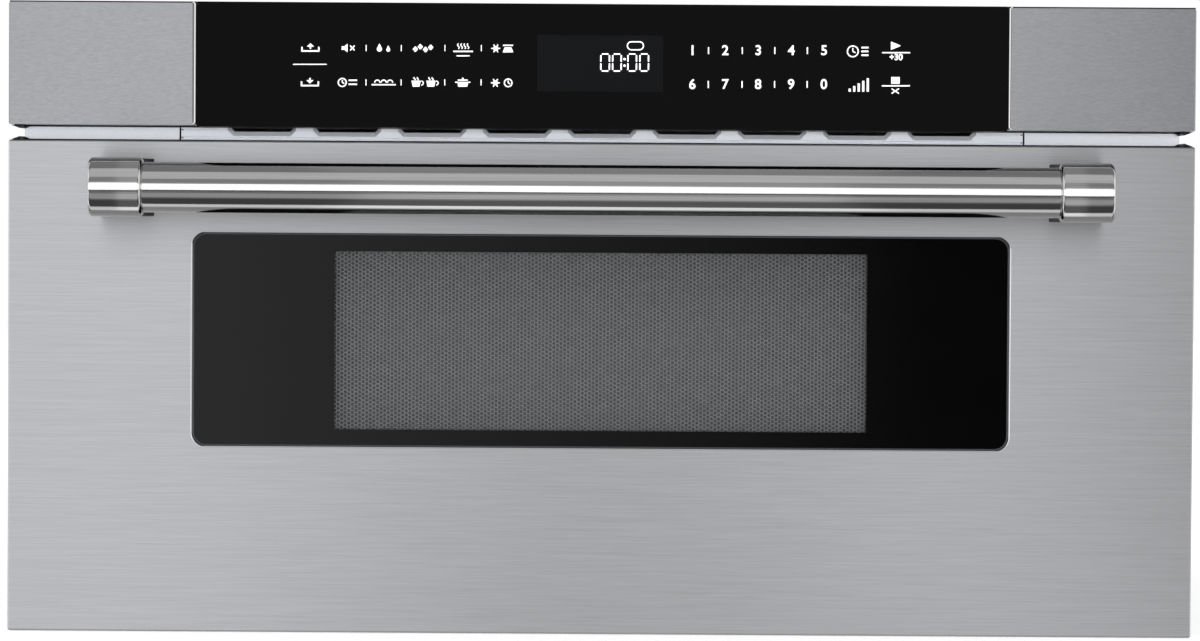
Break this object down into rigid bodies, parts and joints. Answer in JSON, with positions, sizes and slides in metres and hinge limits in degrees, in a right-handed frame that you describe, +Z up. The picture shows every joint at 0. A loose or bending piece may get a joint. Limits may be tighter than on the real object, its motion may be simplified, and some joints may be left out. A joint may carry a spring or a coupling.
{
  "type": "microwave drawer",
  "caption": "Built-in microwave drawer: a steel-fronted drawer with a bar handle and a dark window slides out under a black glass control panel, driven by a rack and pinion.",
  "frame": {"origin": "middle of the chassis' flat underside, where it rests on the shelf of the cabinet", "axes": "+Z up, +X to the right as the user sees the front, -Y out of the front, the way the drawer opens"},
  "size_m": [0.759, 0.6726, 0.4035],
  "materials": {
    "brushed_stainless": "stainless, fine brushing across the width",
    "polished_stainless": "stainless, polished with a fine lengthways grain",
    "flange_steel": "pale satin coating",
    "galvanised_steel": "galvanised, dull",
    "cavity_enamel": "grey enamel, satin",
    "black_glass": "gloss black, printed on the back",
    "window_glass": "smoked, gloss",
    "inner_glass": "clear, gloss",
    "ceramic_glass": "dark, smooth",
    "screen_steel": "perforated, matt dark grey",
    "black_plastic": "moulded, fine matt texture",
    "white_plastic": "moulded, natural white",
    "gear_plastic": "moulded acetal, greased",
    "mica_board": "pressed mica, satin",
    "aluminium": "bright sheet and die casting",
    "lamination_steel": "varnished laminations and copper winding",
    "circuit_board": "green solder mask",
    "ball_steel": "hardened balls in a zinc-plated cage"
  },
  "bodies": {
    "chassis": {"base_pan": "galvanised_steel", "side_panel_right": "galvanised_steel", "side_panel_left": "galvanised_steel", "rear_panel": "galvanised_steel", "top_cover": "galvanised_steel", "front_flange": "flange_steel", "vent_grille": "flange_steel", "exhaust_duct": "galvanised_steel", "cavity_shell": "cavity_enamel", "stirrer_cover": "mica_board", "stirrer_motor": "galvanised_steel", "waveguide": "galvanised_steel", "magnetron": "aluminium", "transformer": "lamination_steel", "hv_capacitor": "aluminium", "fan_housing": "black_plastic", "fan_motor": "galvanised_steel", "oven_lamp": "white_plastic", "noise_filter": "circuit_board", "cord_gland": "black_plastic", "touch_glass": "black_glass", "panel_end_right": "brushed_stainless", "panel_end_left": "brushed_stainless", "panel_carrier": "black_plastic", "control_board": "circuit_board", "interlock_switch_right": "black_plastic", "interlock_switch_left": "black_plastic", "drive_motor": "galvanised_steel", "rail_outer_right": "galvanised_steel", "rail_outer_left": "galvanised_steel"},
    "drawer": {"drawer_front": "brushed_stainless", "door_frame_bottom": "black_plastic", "door_frame_top": "black_plastic", "door_frame_side_right": "black_plastic", "door_frame_side_left": "black_plastic", "window_glass": "window_glass", "window_screen": "screen_steel", "inner_window": "inner_glass", "choke_ring": "cavity_enamel", "drawer_tub": "cavity_enamel", "tub_floor_glass": "ceramic_glass", "handle_bar": "polished_stainless", "handle_post_right": "polished_stainless", "handle_post_left": "polished_stainless", "handle_screw_right": "galvanised_steel", "handle_screw_left": "galvanised_steel", "rail_inner_right": "galvanised_steel", "rail_inner_left": "galvanised_steel", "drive_rack": "gear_plastic"},
    "middle_rail_right": {"rail_middle_right": "galvanised_steel"},
    "middle_rail_left": {"rail_middle_left": "galvanised_steel"},
    "outer_cage_right": {"outer_ball_cage_right": "ball_steel"},
    "outer_cage_left": {"outer_ball_cage_left": "ball_steel"},
    "inner_cage_right": {"inner_ball_cage_right": "ball_steel"},
    "inner_cage_left": {"inner_ball_cage_left": "ball_steel"},
    "pinion": {"drive_pinion": "gear_plastic"},
    "stirrer": {"stirrer_blade": "aluminium"},
    "impeller": {"fan_impeller": "white_plastic"},
    "plunger_right": {"interlock_plunger_right": "white_plastic"},
    "plunger_left": {"interlock_plunger_left": "white_plastic"}
  },
  "joints": [
    {"name": "drawer_slide", "type": "slide", "parent": "chassis", "child": "drawer", "axis": [0, -1, 0], "range_m": [0, 0.38]},
    {"name": "middle_rail_slide_right", "type": "slide", "parent": "chassis", "child": "middle_rail_right", "axis": [0, -1, 0], "range_m": [0, 0.19]},
    {"name": "middle_rail_slide_left", "type": "slide", "parent": "chassis", "child": "middle_rail_left", "axis": [0, -1, 0], "range_m": [0, 0.19]},
    {"name": "outer_cage_roll_right", "type": "slide", "parent": "chassis", "child": "outer_cage_right", "axis": [0, -1, 0], "range_m": [0, 0.095]},
    {"name": "outer_cage_roll_left", "type": "slide", "parent": "chassis", "child": "outer_cage_left", "axis": [0, -1, 0], "range_m": [0, 0.095]},
    {"name": "inner_cage_roll_right", "type": "slide", "parent": "chassis", "child": "inner_cage_right", "axis": [0, -1, 0], "range_m": [0, 0.285]},
    {"name": "inner_cage_roll_left", "type": "slide", "parent": "chassis", "child": "inner_cage_left", "axis": [0, -1, 0], "range_m": [0, 0.285]},
    {"name": "pinion_spin", "type": "hinge", "parent": "chassis", "child": "pinion", "pos_m": [0, -0.252, 0.025], "axis": [1, 0, 0], "range_deg": [0, 1210]},
    {"name": "stirrer_spin", "type": "hinge", "parent": "chassis", "child": "stirrer", "pos_m": [0, -0.078, 0.3], "axis": [0, 0, 1], "continuous": true},
    {"name": "impeller_spin", "type": "hinge", "parent": "chassis", "child": "impeller", "pos_m": [-0.112, 0.1783, 0.232], "axis": [1, 0, 0], "continuous": true},
    {"name": "plunger_push_right", "type": "slide", "parent": "chassis", "child": "plunger_right", "axis": [0, 1, 0], "range_m": [0, 0.002], "stiffness_N_per_m": 150},
    {"name": "plunger_push_left", "type": "slide", "parent": "chassis", "child": "plunger_left", "axis": [0, 1, 0], "range_m": [0, 0.002], "stiffness_N_per_m": 150}
  ],
  "couplings": [
    {"joint": "middle_rail_slide_right", "follows": "drawer_slide", "ratio": 0.5},
    {"joint": "middle_rail_slide_left", "follows": "drawer_slide", "ratio": 0.5},
    {"joint": "outer_cage_roll_right", "follows": "drawer_slide", "ratio": 0.25},
    {"joint": "outer_cage_roll_left", "follows": "drawer_slide", "ratio": 0.25},
    {"joint": "inner_cage_roll_right", "follows": "drawer_slide", "ratio": 0.75},
    {"joint": "inner_cage_roll_left", "follows": "drawer_slide", "ratio": 0.75},
    {"joint": "pinion_spin", "follows": "drawer_slide", "rad_per_m": 55.556}
  ]
}
